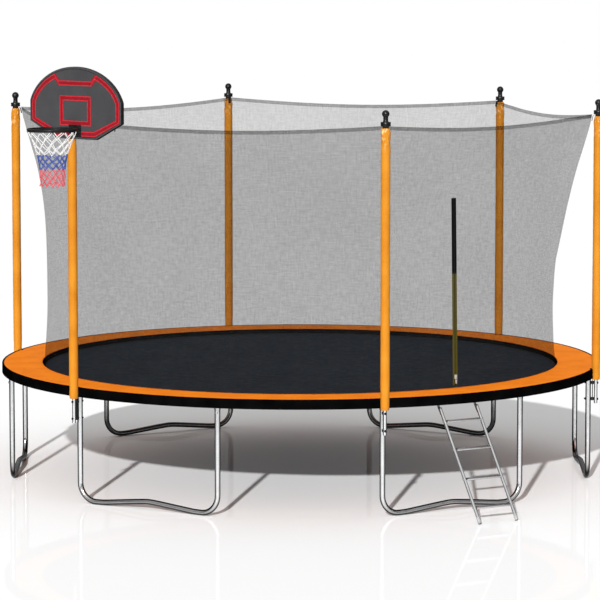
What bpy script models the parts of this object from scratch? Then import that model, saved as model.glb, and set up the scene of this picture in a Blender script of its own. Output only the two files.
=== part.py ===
"""A 14 ft backyard trampoline with its safety net, basketball hoop and ladder, at rest.

The origin is the middle of the mat's top face. +Z is up, and the ladder stands on the -Y side.
Angles run from -Y towards +X. Every sector k of six repeats one rail, leg, pole and net panel.
"""

import math

import bmesh
import bpy
from mathutils import Vector

SECTORS = 6
SECTOR = math.tau / SECTORS
FACETS = 60
FIRST_POLE = math.radians(15)
GROUND = -0.764

RING_RADIUS = 2.114
RING_Z = -0.012
RAIL = 0.0205
SPIGOT = 0.016
SPIGOT_BORE = 0.0176
COLLAR_Z = -0.044
JOINT_SPIGOT = 0.017
JOINT_BORE = 0.0178

LEG = 0.0195
LEG_BEND = 0.125
LEG_HOLLOW = 0.045

POLE_CIRCLE = 2.168
POLE = 0.0125
POLE_FOOT = -0.208
POLE_TOP = 1.893
BOLT_HEIGHTS = (-0.053, -0.167)
BOLT = 0.004
BOLT_HOLE = 0.0048
SLEEVE = 0.0305
SLEEVE_BORE = 0.0131
SLEEVE_FOOT = -0.040
SLEEVE_TOP = 1.8232
CAP_FOOT = 1.824
CAP_DISC = (1.838, 1.865)
CAP_TOP = 1.943

MAT_RADIUS = 1.878
SPRINGS = 72
SPRING_START = 1.8795
SPRING_END = 2.090

PAD_INNER = 1.853
PAD_OUTER = 2.150
PAD_BOTTOM = 0.014
PAD_TOP = 0.037
SKIRT_FOOT = -0.029

NET_HALF = 0.001
NET_ROWS = (0.004, 0.05, 0.22, 0.42, 0.70, 0.95, 1.32, 1.46, 1.64)
NET_TOP = 1.836
NET_SAG = 0.045
NET_COLUMNS = 10
NET_END_GAP = 0.0004
CORNER_LINE = (
    (0.0, 1.848), (0.13, 1.836), (0.42, 1.828), (0.73, 1.858), (0.96, 1.906),
    (1.19, 1.952), (1.43, 2.010), (1.64, 2.075), (1.836, 2.131),
)
MIDDLE_LINE = (
    (0.0, 1.848), (0.13, 1.835), (0.42, 1.819), (0.73, 1.812), (1.20, 1.812),
    (1.50, 1.825), (1.836, 1.847),
)

ZIP_ANGLE = math.radians(34.8)
ZIP_FOOT = 0.05
ZIP_TOP = 1.32
ZIP_WIDTH = 0.040
SLIDER_Z = 0.107

BOARD_TURN = math.radians(-41)
BOARD_SHIFT = 0.10
BOARD_BACK = 0.0395
BOARD_FRONT = 0.0695
BOARD_FOOT = 1.727
BOARD_HALF = 0.428
BOARD_CORNER = (0.190, 0.112)
BOARD_ARCH = (0.444, 0.317)
BOARD_ARCH_MIDDLE = 0.166
HOOP_Z = 1.800
HOOP_RADIUS = 0.163
HOOP_WIRE = 0.008
HOOP_REACH = 0.214

LADDER_ANGLE = math.radians(30)
LADDER_HALF = 0.145
LADDER_LEAN = math.radians(35)
LADDER_TUBE = 0.011
LADDER_AXIS = 2.1062
RUNG_HEIGHTS = (-0.136, -0.309, -0.489, -0.662)

UP = Vector((0, 0, 1))


def clear_scene():
    for block in list(bpy.data.objects):
        bpy.data.objects.remove(block, do_unlink=True)


def make_material(name, colour, roughness, metallic=0.0):
    material = bpy.data.materials.new(name)
    material.use_nodes = True
    shader = material.node_tree.nodes["Principled BSDF"]
    shader.inputs["Base Color"].default_value = (*colour, 1)
    shader.inputs["Roughness"].default_value = roughness
    shader.inputs["Metallic"].default_value = metallic
    material.diffuse_color = (*colour, 1)
    return material


def radial(angle):
    return Vector((math.sin(angle), -math.cos(angle), 0))


def tangent(angle):
    return Vector((math.cos(angle), math.sin(angle), 0))


def polar(angle, radius, height):
    return radial(angle) * radius + UP * height


def on_line(line, height):
    """The radius at this height on a list of (height, radius)."""
    for (low, first), (high, second) in zip(line, line[1:]):
        if height <= high:
            return first + (second - first) * (height - low) / (high - low)
    return line[-1][1]


def add_object(name, mesh, material):
    item = bpy.data.objects.new(name, mesh)
    mesh.materials.append(material)
    GROUP.objects.link(item)
    return item


def loft(name, rings, material, wrap=False):
    """A closed body through rings of equal length, with flat ends unless the last meets the first."""
    shape = bmesh.new()
    rows = [[shape.verts.new(point) for point in ring] for ring in rings]
    count = len(rows[0])
    pairs = list(zip(rows, rows[1:]))
    if wrap:
        pairs.append((rows[-1], rows[0]))
    for near, far in pairs:
        for i in range(count):
            j = (i + 1) % count
            shape.faces.new((near[i], near[j], far[j], far[i]))
    if not wrap:
        shape.faces.new(rows[0])
        shape.faces.new(rows[-1])
    bmesh.ops.remove_doubles(shape, verts=shape.verts, dist=1e-6)
    bmesh.ops.recalc_face_normals(shape, faces=shape.faces)
    mesh = bpy.data.meshes.new(name)
    shape.to_mesh(mesh)
    shape.free()
    return add_object(name, mesh, material)


def turned(name, profile, centre, steps, material, phase=0.0):
    """A closed profile of (radius, height) turned about the vertical through centre."""
    rings = []
    for i in range(steps):
        out = radial(math.tau * i / steps + phase)
        rings.append([centre + out * r + UP * z for r, z in profile])
    return loft(name, rings, material, wrap=True)


def bar(name, sections, side, material, sides=8):
    """A round bar through (point, direction, radius) sections; side is square to every direction."""
    rings = []
    for point, along, radius in sections:
        other = along.normalized().cross(side)
        ring = []
        for i in range(sides):
            turn = math.tau * (i + 0.5) / sides
            ring.append(point + (side * math.cos(turn) + other * math.sin(turn)) * radius)
        rings.append(ring)
    return loft(name, rings, material)


def path_sections(path, radius):
    """The sections of a bent bar, each square to the middle of its two stretches."""
    sections = []
    for i, point in enumerate(path):
        before = path[max(i - 1, 0)]
        after = path[min(i + 1, len(path) - 1)]
        arrive = (point - before).normalized()
        leave = (after - point).normalized()
        sections.append((point, (arrive + leave).normalized(), radius))
    return sections


def strap(name, path, normals, across, width, thickness, material):
    """A flat strap along path, thickened along normals and as wide as width along across."""
    half = across * (width / 2)
    rings = []
    for point, normal in zip(path, normals):
        outer = point + normal * thickness
        rings.append([point - half, point + half, outer + half, outer - half])
    return loft(name, rings, material)


def block(name, centre, axes, sizes, material):
    """A block about centre, with its three sizes along three axes."""
    x, y, z = (axis * size / 2 for axis, size in zip(axes, sizes))
    near = [centre - x - y - z, centre + x - y - z, centre + x + y - z, centre - x + y - z]
    return loft(name, [near, [point + z * 2 for point in near]], material)


def combine(target, other, operation):
    other.hide_render = True
    other.display_type = "WIRE"
    step = target.modifiers.new(operation.lower(), "BOOLEAN")
    step.operation = operation
    step.solver = "EXACT"
    step.object = other


def join_meshes(name, items):
    """One object out of several whose bodies are apart."""
    shape = bmesh.new()
    for item in items:
        shape.from_mesh(item.data)
    mesh = items[0].data
    shape.to_mesh(mesh)
    shape.free()
    for item in items[1:]:
        bpy.data.objects.remove(item, do_unlink=True)
    items[0].name = name
    return items[0]


def set_origin(item, point):
    for vertex in item.data.vertices:
        vertex.co -= point
    item.location = point


def make_rail(k):
    """A sixth of the top ring, with a spigot at one end, a bore at the other and two leg sockets."""
    middle = SECTOR * k
    sections = []
    for i in range(11):
        angle = middle + SECTOR * (i / 10 - 0.5)
        radius = RING_RADIUS
        along = tangent(angle)
        sections.append((polar(angle, radius, RING_Z), along, RAIL))
    first, last = sections[0], sections[-1]
    into = (sections[1][0] - first[0]).normalized()
    beyond = (last[0] - sections[-2][0]).normalized()
    start = first[0] + into * 0.0003
    end = last[0]
    sections[0] = (start, first[1], RAIL)
    # The next rail's bore runs along its own first stretch, so the spigot leans six degrees.
    turned_in = tangent(middle + SECTOR * 0.5 + math.pi / FACETS)
    bore = [
        (start + into * 0.042, into, JOINT_BORE),
        (start, first[1], JOINT_BORE),
    ]
    spigot = [
        (end, last[1], JOINT_SPIGOT),
        (end + turned_in * 0.040, turned_in, JOINT_SPIGOT),
    ]
    rail = bar(f"top_rail_{k + 1}", bore + sections + spigot, UP, STEEL)
    for end_name, offset in (("a", -FIRST_POLE), ("b", FIRST_POLE)):
        angle = middle + offset
        # A facet's middle lies a little inside the circle, and the leg stands on the circle.
        foot = polar(angle, RING_RADIUS, COLLAR_Z)
        head = polar(angle, RING_RADIUS, RING_Z)
        side = radial(angle)
        collar = bar(f"collar_{k + 1}{end_name}", [(foot, UP, LEG), (head, UP, LEG)], side, STEEL)
        combine(rail, collar, "UNION")
        low = polar(angle, RING_RADIUS, COLLAR_Z - 0.01)
        high = polar(angle, RING_RADIUS, RING_Z + 0.0065)
        bore_shape = [(low, UP, SPIGOT_BORE), (high, UP, SPIGOT_BORE)]
        combine(rail, bar(f"socket_{k + 1}{end_name}", bore_shape, side, STEEL), "DIFFERENCE")
    return rail


def leg_path(angle):
    """The U's centre line, from one collar down, along the ground and up to the next collar."""
    half = RING_RADIUS * math.sin(FIRST_POLE)
    centre = radial(angle) * RING_RADIUS * math.cos(FIRST_POLE)
    low = GROUND + LEG * math.cos(math.pi / 8)
    left = [(-half, COLLAR_Z - 0.0005), (-half, low + LEG_BEND)]
    for i in range(1, 6):
        turn = math.radians(18 * i)
        across = -half + LEG_BEND * (1 - math.cos(turn))
        left.append((across, low + LEG_BEND * (1 - math.sin(turn))))
    for across, share in ((-0.37, 0.0), (-0.28, 0.26), (-0.09, 0.86), (-0.03, 1.0)):
        left.append((across, low + LEG_HOLLOW * share))
    right = [(-s, z) for s, z in reversed(left)]
    return [centre + tangent(angle) * s + UP * z for s, z in left + right]


def make_leg(k, holes):
    angle = FIRST_POLE + SECTOR * k + math.radians(15)
    path = leg_path(angle)
    sections = path_sections(path, LEG)
    rise = UP * (RING_Z + 0.006 - COLLAR_Z)
    start = [(path[0] + rise, -UP, SPIGOT), (path[0], -UP, SPIGOT)]
    end = [(path[-1], UP, SPIGOT), (path[-1] + rise, UP, SPIGOT)]
    leg = bar(f"leg_{k + 1}", start + sections + end, radial(angle), STEEL)
    combine(leg, holes, "DIFFERENCE")
    return leg


def make_pole(k, holes):
    angle = FIRST_POLE + SECTOR * k
    ends = [POLE_FOOT, POLE_TOP]
    sections = [(polar(angle, POLE_CIRCLE, z), UP, POLE) for z in ends]
    pole = bar(f"pole_{k + 1}", sections, radial(angle), STEEL)
    combine(pole, holes, "DIFFERENCE")
    return pole


def bolt_holes(k):
    angle = FIRST_POLE + SECTOR * k
    out = radial(angle)
    pair = []
    for number, height in enumerate(BOLT_HEIGHTS):
        ends = [polar(angle, r, height) for r in (2.05, 2.22)]
        sections = [(point, out, BOLT_HOLE) for point in ends]
        pair.append(bar(f"hole_{k}_{number}", sections, UP, STEEL))
    return join_meshes(f"bolt_holes_{k + 1}", pair)


def make_clamp(k):
    """The spacer between leg and pole with the two bolts that pass through all three."""
    angle = FIRST_POLE + SECTOR * k
    out = radial(angle)
    inner = RING_RADIUS + LEG + 0.0004
    outer = POLE_CIRCLE - POLE - 0.0004
    middle = polar(angle, (inner + outer) / 2, (SLEEVE_FOOT - 0.005 - 0.190) / 2)
    sizes = (outer - inner, 0.026, 0.145)
    clamp = block(f"pole_clamp_{k + 1}", middle, (out, tangent(angle), UP), sizes, BLACK_METAL)
    nut = RING_RADIUS - LEG - 0.0004
    head = POLE_CIRCLE + POLE + 0.0004
    bolts = []
    for number, height in enumerate(BOLT_HEIGHTS):
        steps = (
            (nut - 0.0095, BOLT), (nut - 0.0065, BOLT), (nut - 0.0065, 0.0078), (nut, 0.0078),
            (nut, BOLT), (head, BOLT), (head, 0.0078), (head + 0.0048, 0.0078),
        )
        sections = [(polar(angle, r, height), out, radius) for r, radius in steps]
        bolts.append(bar(f"bolt_{k}_{number}", sections, UP, BLACK_METAL, sides=6))
    combine(clamp, join_meshes(f"clamp_bolts_{k + 1}", bolts), "UNION")
    return clamp


def make_sleeve(k):
    angle = FIRST_POLE + SECTOR * k
    profile = [
        (SLEEVE_BORE, SLEEVE_FOOT), (SLEEVE, SLEEVE_FOOT),
        (SLEEVE, SLEEVE_TOP), (SLEEVE_BORE, SLEEVE_TOP),
    ]
    centre = radial(angle) * POLE_CIRCLE
    return turned(f"pole_sleeve_{k + 1}", profile, centre, 12, FOAM, angle)


def make_cap(k):
    angle = FIRST_POLE + SECTOR * k
    ball = 0.025
    middle = CAP_TOP - ball
    low, high = CAP_DISC
    profile = [(0, POLE_TOP + 0.001), (SLEEVE_BORE, POLE_TOP + 0.001), (SLEEVE_BORE, CAP_FOOT)]
    profile += [(0.0200, CAP_FOOT), (0.0200, low), (0.0335, low), (0.0335, high), (0.0168, high + 0.004)]
    for degrees in (-48, -20, 10, 40, 68):
        turn = math.radians(degrees)
        profile.append((ball * math.cos(turn), middle + ball * math.sin(turn)))
    profile.append((0, CAP_TOP))
    centre = radial(angle) * POLE_CIRCLE
    return turned(f"pole_cap_{k + 1}", profile, centre, 12, BLACK_PLASTIC, angle)


def make_mat():
    profile = [
        (0, -0.003), (1.84, -0.003), (1.84, -0.007), (MAT_RADIUS, -0.007), (MAT_RADIUS, 0), (0, 0),
    ]
    return turned("jumping_mat", profile, Vector(), FACETS, MAT)


def make_springs():
    """All the springs and the band of hook rings that they share, as one body."""
    band = [(1.8785, -0.009), (1.884, -0.009), (1.884, -0.003), (1.8785, -0.003)]
    whole = turned("spring_set", band, Vector(), FACETS, STEEL)
    pieces = []
    for i in range(SPRINGS):
        angle = math.tau * (i + 0.5) / SPRINGS
        steps = (
            (SPRING_START, -0.006, 0.0022), (1.918, -0.007, 0.008),
            (2.052, -0.011, 0.008), (SPRING_END, RING_Z, 0.0022),
        )
        sections = [(polar(angle, r, z), radial(angle), radius) for r, z, radius in steps]
        pieces.append(bar(f"spring_{i}", sections, UP, STEEL, sides=6))
    combine(whole, join_meshes("springs_only", pieces), "UNION")
    return whole


def make_pad():
    profile = [
        (PAD_INNER, PAD_BOTTOM), (PAD_OUTER, PAD_BOTTOM),
        (PAD_OUTER, PAD_TOP), (PAD_INNER, PAD_TOP),
    ]
    pad = turned("safety_pad", profile, Vector(), FACETS, PAD)
    for k in range(SECTORS):
        angle = FIRST_POLE + SECTOR * k
        ends = [polar(angle, POLE_CIRCLE, z) for z in (PAD_BOTTOM - 0.02, PAD_TOP + 0.02)]
        sections = [(point, UP, SLEEVE + 0.0030) for point in ends]
        combine(pad, bar(f"pad_notch_{k + 1}", sections, radial(angle), PAD), "DIFFERENCE")
    return pad


def make_skirt():
    profile = [
        (2.1350, SKIRT_FOOT), (2.1372, SKIRT_FOOT),
        (2.1372, PAD_BOTTOM - 0.0004), (2.1350, PAD_BOTTOM - 0.0004),
    ]
    return turned("pad_skirt", profile, Vector(), FACETS, SKIRT)


def net_radius(angle, height):
    """The net's middle surface: straight from pole to pole at its top and round at its foot."""
    turn = (angle - FIRST_POLE) % SECTOR
    lean = (1 / math.cos(SECTOR / 2 - turn) - 1) / (1 / math.cos(SECTOR / 2) - 1)
    corner = on_line(CORNER_LINE, height)
    middle = on_line(MIDDLE_LINE, height)
    radius = middle + (corner - middle) * lean
    # The zip is stiff, so the net is straight beside it.
    away = abs(angle - ZIP_ANGLE)
    if away < math.radians(12) and height <= ZIP_TOP:
        ease = min(1, max(0, (math.radians(12) - away) / math.radians(10)))
        radius += (zip_radius(height) - radius) * ease
    return radius


def zip_radius(height):
    low, high = 1.8435, 1.814925
    share = min(1, max(0, (height - ZIP_FOOT) / (ZIP_TOP - ZIP_FOOT)))
    return low + (high - low) * share


def make_net_panel(k):
    start = FIRST_POLE + SECTOR * k
    angles = [start + SECTOR * i / NET_COLUMNS for i in range(NET_COLUMNS + 1)]
    angles[0] += NET_END_GAP
    angles[-1] -= NET_END_GAP
    if k == 0:
        near = [a for a in angles if abs(a - ZIP_ANGLE) > math.radians(2.5)]
        angles = sorted(near + [ZIP_ANGLE - math.radians(0.8), ZIP_ANGLE + math.radians(0.8)])
    shape = bmesh.new()
    rows = []
    for angle in angles:
        share = (angle - start) / SECTOR
        top = NET_TOP - NET_SAG * 4 * share * (1 - share)
        heights = (*NET_ROWS, top)
        points = [polar(angle, net_radius(angle, height), height) for height in heights]
        rows.append([shape.verts.new(point) for point in points])
    # Triangles, so that the cloth's two faces fold along the same lines.
    for near, far in zip(rows, rows[1:]):
        for i in range(len(near) - 1):
            shape.faces.new((near[i], far[i], far[i + 1]))
            shape.faces.new((near[i], far[i + 1], near[i + 1]))
    name = f"net_panel_{k + 1}"
    mesh = bpy.data.meshes.new(name)
    shape.to_mesh(mesh)
    shape.free()
    item = add_object(name, mesh, NET)
    wall = item.modifiers.new("wall", "SOLIDIFY")
    wall.thickness = 2 * NET_HALF
    wall.offset = 0
    return item


def zip_frame(height, gap):
    """A point straight outside the net's flat strip beside the zip."""
    flat = math.cos(math.radians(0.8))
    return polar(ZIP_ANGLE, zip_radius(height) * flat + NET_HALF + gap, height)


def make_zip():
    across = tangent(ZIP_ANGLE)
    foot = zip_frame(ZIP_FOOT, 0.0005)
    head = zip_frame(ZIP_TOP, 0.0005)
    normal = radial(ZIP_ANGLE)
    ends = [foot, head]
    tape = strap("zip_tape", ends, [normal, normal], across, ZIP_WIDTH, 0.0024, ZIP)
    centre = zip_frame(SLIDER_Z, 0.0005 + 0.0024 + 0.0006 + 0.004)
    slope = (head - foot).normalized()
    depth = across.cross(slope)
    sizes = (0.022, 0.008, 0.034)
    slider = block("zip_slider", centre, (across, depth, slope), sizes, LIGHT_PLASTIC)
    pull_centre = centre + depth * 0.005 - slope * 0.028
    pull = block("zip_pull", pull_centre, (across, depth, slope), (0.012, 0.004, 0.044), ZIP)
    combine(slider, pull, "UNION")
    set_origin(slider, centre)
    pull.data.transform(pull.matrix_world.copy())
    return tape, slider


def hoop_axes():
    out = radial(BOARD_TURN)
    return out, tangent(BOARD_TURN)


def hoop_point(across, forward, height):
    """A point in the hoop's own frame: across and forward of the pole, at this height."""
    out, side = hoop_axes()
    pole = radial(FIRST_POLE + SECTOR * 5) * POLE_CIRCLE
    return pole + side * (BOARD_SHIFT + across) + out * forward + UP * height


def board_outline():
    """Half of it from the foot's corner to the top of the arch, then its mirror image."""
    foot, chamfer = BOARD_CORNER
    wide, tall = BOARD_ARCH
    half = [(foot, 0.0), (BOARD_HALF, chamfer)]
    first = math.acos(BOARD_HALF / wide)
    for i in range(7):
        turn = first + (math.pi / 2 - first) * i / 6
        half.append((wide * math.cos(turn), BOARD_ARCH_MIDDLE + tall * math.sin(turn)))
    return half + [(-across, height) for across, height in reversed(half[:-1])]


def make_hoop():
    out, side = hoop_axes()
    outline = board_outline()
    faces = []
    for forward in (BOARD_BACK, BOARD_FRONT):
        faces.append([hoop_point(u, forward, BOARD_FOOT + w) for u, w in outline])
    board = loft("hoop_board", faces, BOARD)

    plate_middle = hoop_point(-0.052, 0.0365, 1.782)
    plate = block("hoop_bracket", plate_middle, (side, out, UP), (0.19, 0.004, 0.085), BLACK_METAL)
    straps = []
    for number, height in enumerate((1.757, 1.807)):
        grip = 0.0316
        path = [hoop_point(grip - BOARD_SHIFT, 0.0365, height)]
        normals = [side]
        for i in range(9):
            turn = math.pi * i / 8
            normal = side * math.cos(turn) - out * math.sin(turn)
            normals.append(normal)
            path.append(hoop_point(-BOARD_SHIFT, 0, height) + normal * grip)
        path.append(hoop_point(-grip - BOARD_SHIFT, 0.0365, height))
        normals.append(-side)
        straps.append(strap(f"u_strap_{number}", path, normals, UP, 0.018, 0.003, BLACK_METAL))
    combine(plate, join_meshes("u_straps", straps), "UNION")

    ring = []
    centre = hoop_point(0, BOARD_FRONT + HOOP_REACH, HOOP_Z)
    for i in range(24):
        turn = math.tau * i / 24
        away = side * math.cos(turn) + out * math.sin(turn)
        ring.append([])
        for j in range(6):
            swing = math.tau * (j + 0.5) / 6
            reach = HOOP_RADIUS + HOOP_WIRE * math.cos(swing)
            ring[-1].append(centre + away * reach + UP * HOOP_WIRE * math.sin(swing))
    rim = loft("hoop_rim", ring, BLACK_METAL, wrap=True)
    foot = hoop_point(0, BOARD_FRONT + 0.0004 + 0.0025, HOOP_Z - 0.018)
    combine(rim, block("rim_plate", foot, (side, out, UP), (0.115, 0.005, 0.082), BLACK_METAL), "UNION")
    reach = HOOP_REACH - HOOP_RADIUS
    arm = hoop_point(0, BOARD_FRONT + 0.002 + reach / 2, HOOP_Z)
    combine(rim, block("rim_arm", arm, (side, out, UP), (0.074, reach, 0.010), BLACK_METAL), "UNION")

    bolts, holes = [], []
    for number, across in enumerate((-0.034, 0.034)):
        plate_back = 0.0345 - 0.0006
        steps = (
            (plate_back - 0.0022, 0.0035), (plate_back - 0.0022, 0.0065), (plate_back, 0.0065),
            (plate_back, 0.0035), (BOARD_FRONT + 0.004, 0.0035),
            (BOARD_FRONT + 0.004, 0.0070), (BOARD_FRONT + 0.0095, 0.0070),
        )
        sections = [(hoop_point(across, n, HOOP_Z - 0.026), out, r) for n, r in steps]
        bolts.append(bar(f"rim_bolt_{number}", sections, UP, BLACK_METAL, sides=6))
        reaches = (0.02, BOARD_FRONT + 0.0001)
        cut = [(hoop_point(across, n, HOOP_Z - 0.026), out, 0.0042) for n in reaches]
        holes.append(bar(f"rim_hole_{number}", cut, UP, BLACK_METAL))
    combine(rim, join_meshes("rim_bolts", bolts), "UNION")
    hole_shape = join_meshes("rim_holes", holes)
    combine(board, hole_shape, "DIFFERENCE")
    combine(plate, hole_shape, "DIFFERENCE")

    top = HOOP_Z - HOOP_WIRE - 0.0006
    widths = ((0.161, 0), (0.128, 0.08), (0.099, 0.16), (0.085, 0.26), (0.080, 0.390))
    profile = [(r, top - drop) for r, drop in widths]
    profile += [(r - 0.004, top - drop) for r, drop in reversed(widths)]
    centre_low = Vector((centre.x, centre.y, 0))
    net = turned("hoop_net", profile, centre_low, 24, CORD)
    return board, plate, rim, net


def ladder_point(across, outward, height):
    base = radial(LADDER_ANGLE) * (LADDER_AXIS + outward)
    return base + tangent(LADDER_ANGLE) * across + UP * (RING_Z + height)


def make_ladder():
    """Two leaning rails with a hook each, and four treads between them."""
    lean = LADDER_LEAN
    down = (math.sin(lean), -math.cos(lean))
    inward = (-math.cos(lean), -math.sin(lean))
    offset = 0.0130
    grip = 0.0225
    low = GROUND - RING_Z + LADDER_TUBE * math.sin(lean) + 0.0005
    length = (low - inward[1] * offset) / down[1]
    pivot = ladder_point(0, 0, 0)
    side = tangent(LADDER_ANGLE)
    made = []
    for name, across in (("left", -LADDER_HALF), ("right", LADDER_HALF)):
        sections = []
        for run in (0.040, length):
            outward = down[0] * run + inward[0] * offset
            height = down[1] * run + inward[1] * offset
            direction = ladder_point(0, down[0], down[1]) - ladder_point(0, 0, 0)
            sections.append((ladder_point(across, outward, height), direction, LADDER_TUBE))
        rail = bar(f"ladder_rail_{name}", sections, side, STEEL)
        path, normals = [], []
        for run in (0.085, 0.030):
            outward = down[0] * run + inward[0] * grip
            height = down[1] * run + inward[1] * grip
            path.append(ladder_point(across, outward, height))
            normals.append(ladder_point(0, *inward) - pivot)
        start = math.degrees(math.atan2(inward[1], inward[0])) % 360
        for i in range(9):
            turn = math.radians(start + (60 - start) * i / 8)
            spoke = (math.cos(turn), math.sin(turn))
            path.append(ladder_point(across, spoke[0] * grip, spoke[1] * grip))
            normals.append(ladder_point(0, *spoke) - pivot)
        hook = strap(f"ladder_hook_{name}", path, normals, side, 0.020, 0.0025, STEEL)
        combine(rail, hook, "UNION")
        made.append(rail)
    for number, height in enumerate(RUNG_HEIGHTS):
        run = (height - RING_Z - inward[1] * offset) / down[1]
        outward = down[0] * run + inward[0] * offset
        centre = ladder_point(0, outward, height - RING_Z)
        axes = (side, radial(LADDER_ANGLE), UP)
        width = 2 * (LADDER_HALF - LADDER_TUBE) - 0.0008
        made.append(block(f"ladder_rung_{number + 1}", centre, axes, (width, 0.044, 0.013), STEEL))
    for item in made:
        set_origin(item, pivot)
    for name in ("left", "right"):
        set_origin(bpy.data.objects[f"ladder_hook_{name}"], pivot)


def make_everything():
    for k in range(SECTORS):
        make_rail(k)
        holes = bolt_holes(k)
        make_leg(k, holes)
        make_pole(k, holes)
        make_clamp(k)
        make_sleeve(k)
        make_cap(k)
        make_net_panel(k)
    make_mat()
    make_springs()
    make_pad()
    make_skirt()
    make_zip()
    make_hoop()
    make_ladder()


clear_scene()
GROUP = bpy.data.collections.new("trampoline")
bpy.context.scene.collection.children.link(GROUP)
STEEL = make_material("galvanised_steel", (0.72, 0.73, 0.74), 0.28, 1.0)
BLACK_METAL = make_material("black_metal", (0.02, 0.02, 0.02), 0.45, 0.6)
BLACK_PLASTIC = make_material("black_plastic", (0.015, 0.015, 0.015), 0.5)
LIGHT_PLASTIC = make_material("light_plastic", (0.7, 0.7, 0.68), 0.4)
FOAM = make_material("orange_foam", (0.85, 0.30, 0.05), 0.7)
PAD = make_material("orange_vinyl", (0.83, 0.22, 0.02), 0.5)
SKIRT = make_material("black_vinyl", (0.01, 0.01, 0.01), 0.6)
MAT = make_material("woven_mat", (0.02, 0.022, 0.025), 0.8)
NET = make_material("net_cloth", (0.3, 0.3, 0.31), 0.9)
ZIP = make_material("zip_tape", (0.02, 0.02, 0.02), 0.7)
BOARD = make_material("board_plastic", (0.08, 0.08, 0.08), 0.4)
CORD = make_material("hoop_cord", (0.8, 0.8, 0.8), 0.8)
make_everything()
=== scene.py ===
"""The looks of a 14 ft backyard trampoline with its safety net, hoop and ladder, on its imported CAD.

Angles run from -Y towards +X. Sector k of six has its own rail, leg, pole and net panel.
"""

import math

import bmesh
import bpy
import numpy as np
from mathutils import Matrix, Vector


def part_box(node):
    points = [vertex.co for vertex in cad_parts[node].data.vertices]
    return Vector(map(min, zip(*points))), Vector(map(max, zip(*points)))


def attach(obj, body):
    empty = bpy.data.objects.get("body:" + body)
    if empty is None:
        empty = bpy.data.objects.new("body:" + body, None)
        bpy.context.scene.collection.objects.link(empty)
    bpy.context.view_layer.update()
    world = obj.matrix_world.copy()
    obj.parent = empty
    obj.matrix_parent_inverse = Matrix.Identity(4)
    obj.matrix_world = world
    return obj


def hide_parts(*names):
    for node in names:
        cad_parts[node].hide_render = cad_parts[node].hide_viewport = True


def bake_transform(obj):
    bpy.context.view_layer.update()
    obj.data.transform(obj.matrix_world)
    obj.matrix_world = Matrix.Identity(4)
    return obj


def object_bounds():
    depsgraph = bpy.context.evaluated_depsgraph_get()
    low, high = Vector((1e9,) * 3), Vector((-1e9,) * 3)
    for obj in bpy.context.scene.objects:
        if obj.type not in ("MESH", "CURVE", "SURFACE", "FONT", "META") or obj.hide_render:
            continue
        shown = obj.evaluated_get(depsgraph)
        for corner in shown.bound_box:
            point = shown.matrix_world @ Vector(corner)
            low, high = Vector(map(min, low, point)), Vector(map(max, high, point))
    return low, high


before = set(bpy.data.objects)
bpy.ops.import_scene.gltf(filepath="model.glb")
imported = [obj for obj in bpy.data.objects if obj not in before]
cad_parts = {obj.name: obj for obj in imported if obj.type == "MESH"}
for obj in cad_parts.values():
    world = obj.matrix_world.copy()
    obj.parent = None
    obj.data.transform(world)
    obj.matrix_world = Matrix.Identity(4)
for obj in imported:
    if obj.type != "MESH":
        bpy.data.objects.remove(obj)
cad_box = [list(corner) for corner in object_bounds()]

SECTORS = 6
SECTOR = math.tau / SECTORS
FIRST_POLE = math.radians(15)
RING_RADIUS, RING_Z, RAIL = 2.114, -0.012, 0.0203
COLLAR_Z = -0.044
LEG, LEG_BEND, LEG_RISE = 0.0192, 0.125, 0.036
POLE_CIRCLE, POLE, POLE_TOP = 2.168, 0.0124, 1.892
SLEEVE = 0.0302
BOLT_HEIGHTS = (-0.062, -0.178)
SPRINGS, SPRING_LENGTH = 72, 0.2055
HEM_INNER, PAD_INNER = 1.836, 1.8535
CORNER_LINE = (
    (0.0, 1.848), (0.13, 1.836), (0.42, 1.828), (0.73, 1.858), (0.96, 1.906),
    (1.19, 1.952), (1.43, 2.010), (1.64, 2.075), (1.836, 2.131),
)
MIDDLE_LINE = (
    (0.0, 1.848), (0.13, 1.835), (0.42, 1.819), (0.73, 1.812), (1.20, 1.812),
    (1.50, 1.825), (1.836, 1.847),
)
NET_TOP, NET_FOOT, NET_SAG = 1.836, 0.004, 0.045
ZIP_ANGLE, ZIP_WIDTH = math.radians(34.8), 0.040
ZIP_RADII = (1.8435, 1.814925)
BOARD_TURN, BOARD_SHIFT = math.radians(-41), 0.10
BOARD_BACK, BOARD_FRONT = 0.0395, 0.0695
BOARD_FOOT, BOARD_HALF, BOARD_CORNER = 1.727, 0.428, (0.190, 0.112)
BOARD_ARCH, BOARD_ARCH_MIDDLE = (0.444, 0.317), 0.166
LINE_INSET, LINE_BAND, LINE_EDGE = 0.036, 0.032, 0.0065
HOOP_Z, HOOP_RADIUS, HOOP_REACH = 1.800, 0.163, 0.214
LADDER_ANGLE, LADDER_LEAN = math.radians(30), math.radians(35)
LADDER_HALF, LADDER_AXIS, LADDER_TUBE = 0.145, 2.1062, 0.0109
TREADS = (-0.136, -0.309, -0.489, -0.662)
SUN_STRENGTH, SUN_WAY = 5.1, (0.34, 1.95, -0.79)
CAMERA_AWAY, CAMERA_HEIGHT, CAMERA_TILT, CAMERA_LENS = 23.26, 3.767, 0.1087, 194.04

GROUND = cad_box[0][2]
MAT_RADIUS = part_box("jumping_mat")[1][0]
PAD_LOW, PAD_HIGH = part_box("safety_pad")
ZIP_LOW, ZIP_HIGH = (corner[2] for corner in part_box("zip_tape"))
SLEEVE_FOOT, SLEEVE_TOP = (corner[2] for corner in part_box("pole_sleeve_1"))
CAP_FOOT, CAP_TOP = (corner[2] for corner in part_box("pole_cap_1"))
POLE_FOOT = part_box("pole_1")[0][2]
UP = np.array((0.0, 0.0, 1.0))


# ---------------------------------------------------------------- shapes

def radial(angle):
    return np.array((math.sin(angle), -math.cos(angle), 0.0))


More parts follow.
